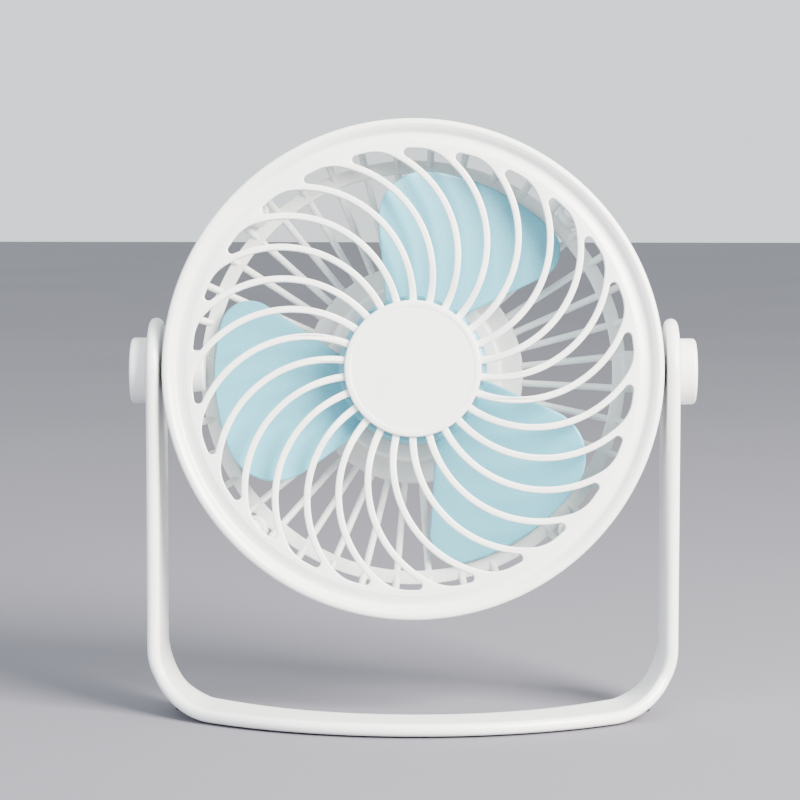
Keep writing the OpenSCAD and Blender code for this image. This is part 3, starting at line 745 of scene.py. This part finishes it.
def makeCover():
    work = bmesh.new()
    r, low, wall = fan["hub"], cover["out"], cover["wall"]
    lathe(work, rounded([
        (0, low, 0), (r - 0.02, low, 5.0), (r - 0.02, cover["top"], 0.3), (r - wall, cover["top"], 0.2),
        (r - wall, low + wall, 3.6), (0, low + wall, 0)], 8), 192, closed=False)
    post = [Vector(p) for p in ((0, low + wall - 0.2), (2.2, low + wall - 0.2), (2.2, -27.9), (0, -27.9))]
    for x in (13.5, -13.5):      # the board stands on these
        lathe(work, post, 24, (x, 0, 0), closed=False)
    mesh = toMesh("cover", work)
    tools = [rodTool(cover["button"], low - 2, low + 3, (0, cover["buttonY"]), segments=96),
             rodTool(cover["button"] + 0.9, low - 2, low + 0.35, (0, cover["buttonY"]), segments=96)]
    port = bmesh.new()
    shape = ovalSection(cover["portWide"], cover["portTall"], 1.7, 8)
    rings = [[port.verts.new((a, b + cover["portY"], z)) for a, b in shape] for z in (low - 2, low + 3)]
    for k in range(len(shape)):
        n = (k + 1) % len(shape)
        port.faces.new((rings[0][k], rings[0][n], rings[1][n], rings[1][k]))
    port.faces.new(rings[0])
    port.faces.new(rings[1])
    tools.append(toMesh("port", port))
    for turn in (90, 210, 330):      # screw holes, each with a wider seat
        at = (cover["screwAt"] * cos(radians(turn)), cover["screwAt"] * sin(radians(turn)))
        tools.append(rodTool(1.4, low - 2, low + 3, at))
        tools.append(rodTool(2.7, low - 2, low + 0.9, at))
    for turn in (-30, -18, -6, 6, 18, 30):      # vents
        tools.append(boxTool((21, -0.8, low - 2), (26, 0.8, low + 3), turn + 270))
    newPiece("backCover", cutHoles(mesh, tools), "head", "white", ["back_cover"], angle=35)


def makeButton():
    work = bmesh.new()
    low = cover["out"] - 0.9
    lathe(work, rounded([
        (0, low + 0.35, 0), (3.0, low + 0.12, 2.0), (5.0, low, 0.5), (5.0, -32.9, 0.05), (5.9, -32.9, 0.2),
        (5.9, -31.9, 0.2), (0, -31.9, 0)], 5), 96, (0, cover["buttonY"], 0), closed=False)
    newPiece("powerButton", toMesh("button", work), "button", "teal", ["power_button"])


makeHousing()
makeCover()
makeButton()
print("housing, cover and button made")


# impeller

blades = {"count": 3, "tip": 60.5, "hub": 22.3, "thick": 1.6, "first": 69.0, "front": 10.6, "back": -7.5,
          "leadCorner": 9.075, "leadTurn": 23.0, "trailCorner": 15.125, "trailTurn": 15.3,
          "bend": 207.66, "shift": 47.17, "start": 18.0, "leadZ": -1.355}


def bladeEdge(root, corner, degrees):
    # one side of a blade's outline from the hub to the middle of the tip, and the way inward at each point
    turn = radians(degrees)
    centre = (blades["tip"] - corner) * ray(turn)
    gap = centre - root
    far = atan2(gap.y, gap.x) + asin(corner / gap.length) + pi / 2
    out = ray(far)
    touch = centre + corner * out
    run = (touch - root).normalized()
    along = root.dot(run)
    begin = root + run * (sqrt(along ** 2 - root.length_squared + (blades["hub"] - 0.8) ** 2) - along)
    points = [(begin.lerp(touch, k / 12), -out) for k in range(12)]
    for k in range(25):
        way = ray(far + (turn - far) * k / 24)
        points.append((centre + corner * way, -way))
    for k in range(1, 15):
        way = ray(turn * (1 - k / 14))
        points.append((blades["tip"] * way, -way))
    return points


def makeImpeller():
    hub = blades["hub"]
    lead = bladeEdge(Vector((hub - 4, hub * 0.25)), blades["leadCorner"], blades["leadTurn"])
    trail = bladeEdge(Vector((hub * 0.45, hub * 0.54)), blades["trailCorner"], blades["trailTurn"])
    stations = [(Vector((a.x, -a.y)), Vector((m.x, -m.y)), b, n) for (a, m), (b, n) in zip(lead, trail)]
    axisZ = blades["leadZ"] + sqrt(blades["bend"] ** 2 - blades["start"] ** 2)
    mid = blades["bend"] + blades["thick"] / 2

    def place(s, t, h):
        y = t + blades["shift"]
        return Vector((s, t, axisZ - sqrt((mid - h) ** 2 - y * y)))

    work = bmesh.new()
    plate(work, stations, blades["thick"], 0.7, 16, place, capStart=True)
    blade = toMesh("blade", work, 0.005)
    three = around(blade, blades["count"], blades["first"], "teal")
    work = bmesh.new()
    front, back = blades["front"], blades["back"]
    lathe(work, rounded([
        (0, front, 0), (hub, front, 2.2), (hub, back, 0.4), (hub - 1.5, back, 0.3),
        (hub - 1.5, front - 1.5, 1.0), (4.2, front - 1.5, 0.6), (4.2, back + 1, 0.4), (2.4, back + 1, 0),
        (2.4, 4.2, 0), (0, 4.2, 0)], 6), 160, closed=False)
    body = toMesh("hub", work)
    ribs = [boxTool((3.6, -0.6, front - 8), (hub - 0.8, 0.6, front - 1), a) for a in (30, 150, 270)]
    newPiece("impeller", merged("impeller", [three, body] + ribs), "rotor", "teal",
             ["impeller"], angle=45)


makeImpeller()
print("impeller made")


# finishes of the CAD nodes that stay

finishes = {
    "rubber": ["foot_pads"], "nylon": ["pivot_bushes"],
    "screw": ["rim_screws", "pivot_screws", "housing_screws", "cover_screws", "board_screws", "motor_screws"],
    "can": ["motor_can", "power_socket"], "black": ["motor_end_cap", "switch_body"],
    "ferrite": ["motor_magnets"], "bronze": ["motor_bearings"],
    "tin": ["motor_terminals", "motor_brushes"], "leads": ["motor_leads"],
    "board": ["circuit_board"], "brass": ["impeller_insert"], "shaft": ["motor_shaft"],
    "core": ["rotor_core"], "copper": ["rotor_windings", "commutator"]}
for finish, names in finishes.items():
    for name in names:
        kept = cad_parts[name]
        kept.data.materials.clear()
        kept.data.materials.append(paints[finish])
print("finishes given")


# floor, lights, camera

def makeStage():
    work = bmesh.new()
    bmesh.ops.create_grid(work, x_segments=2, y_segments=2, size=6.0)
    mesh = bpy.data.meshes.new("floor")
    work.to_mesh(mesh)
    work.free()
    floor = bpy.data.objects.new("floor", mesh)
    scene.collection.objects.link(floor)
    made, tree, shader, where = blankMaterial("paleMattBoard")
    tooth = noise(tree, where, 1.2, 4.0)
    broad = noise(tree, where, 400.0, 2.0)
    tree.links.new(mixColour(tree, ramp(tree, broad, 0.3, 0.7, 0, 1), colour("#706e77"), colour("#6b6972")),
                   shader.inputs["Base Color"])
    tree.links.new(bumpFrom(tree, tooth, 0.02), shader.inputs["Normal"])
    shader.inputs["Roughness"].default_value = 0.75
    mesh.materials.append(made)


def areaLight(name, place, target, size, power, tint="#ffffff"):
    light = bpy.data.lights.new(name, "AREA")
    light.shape = "RECTANGLE"
    light.size, light.size_y = size
    light.energy = power
    light.color = colour(tint)[:3]
    lamp = bpy.data.objects.new(name, light)
    scene.collection.objects.link(lamp)
    lamp.location = place
    lamp.rotation_euler = (Vector(target) - Vector(place)).to_track_quat("-Z", "Y").to_euler()


def makeCamera():
    eye = Vector((0.0064, -0.83945 + 0.0405, 0.1627))
    pitch, yaw, roll = 0.0809, -0.0124, 0.0011
    lens = bpy.data.cameras.new("camera")
    lens.sensor_width = 36
    lens.lens = 2767.2 / 800 * 36
    lens.clip_start = 0.01
    camera = bpy.data.objects.new("camera", lens)
    scene.collection.objects.link(camera)
    camera.location = eye
    ahead = Vector((sin(yaw) * cos(pitch), cos(yaw) * cos(pitch), -sin(pitch)))
    turn = ahead.to_track_quat("-Z", "Y").to_matrix() @ Matrix.Rotation(roll, 3, "Z")
    camera.rotation_euler = turn.to_euler()
    scene.camera = camera


makeStage()
world = bpy.data.worlds.new("studio")
scene.world = world
world.use_nodes = True
world.node_tree.nodes["Background"].inputs["Color"].default_value = colour("#dfe6e8")
world.node_tree.nodes["Background"].inputs["Strength"].default_value = 1.7
areaLight("key", (0.9, -0.75, 0.75), (0, 0.04, 0.1), (0.75, 0.75), 135, "#fffaf2")
areaLight("fill", (-0.9, -0.9, 0.5), (0, 0.04, 0.1), (1.0, 1.0), 14, "#eaf4ff")
makeCamera()
print("stage, lights and camera set")
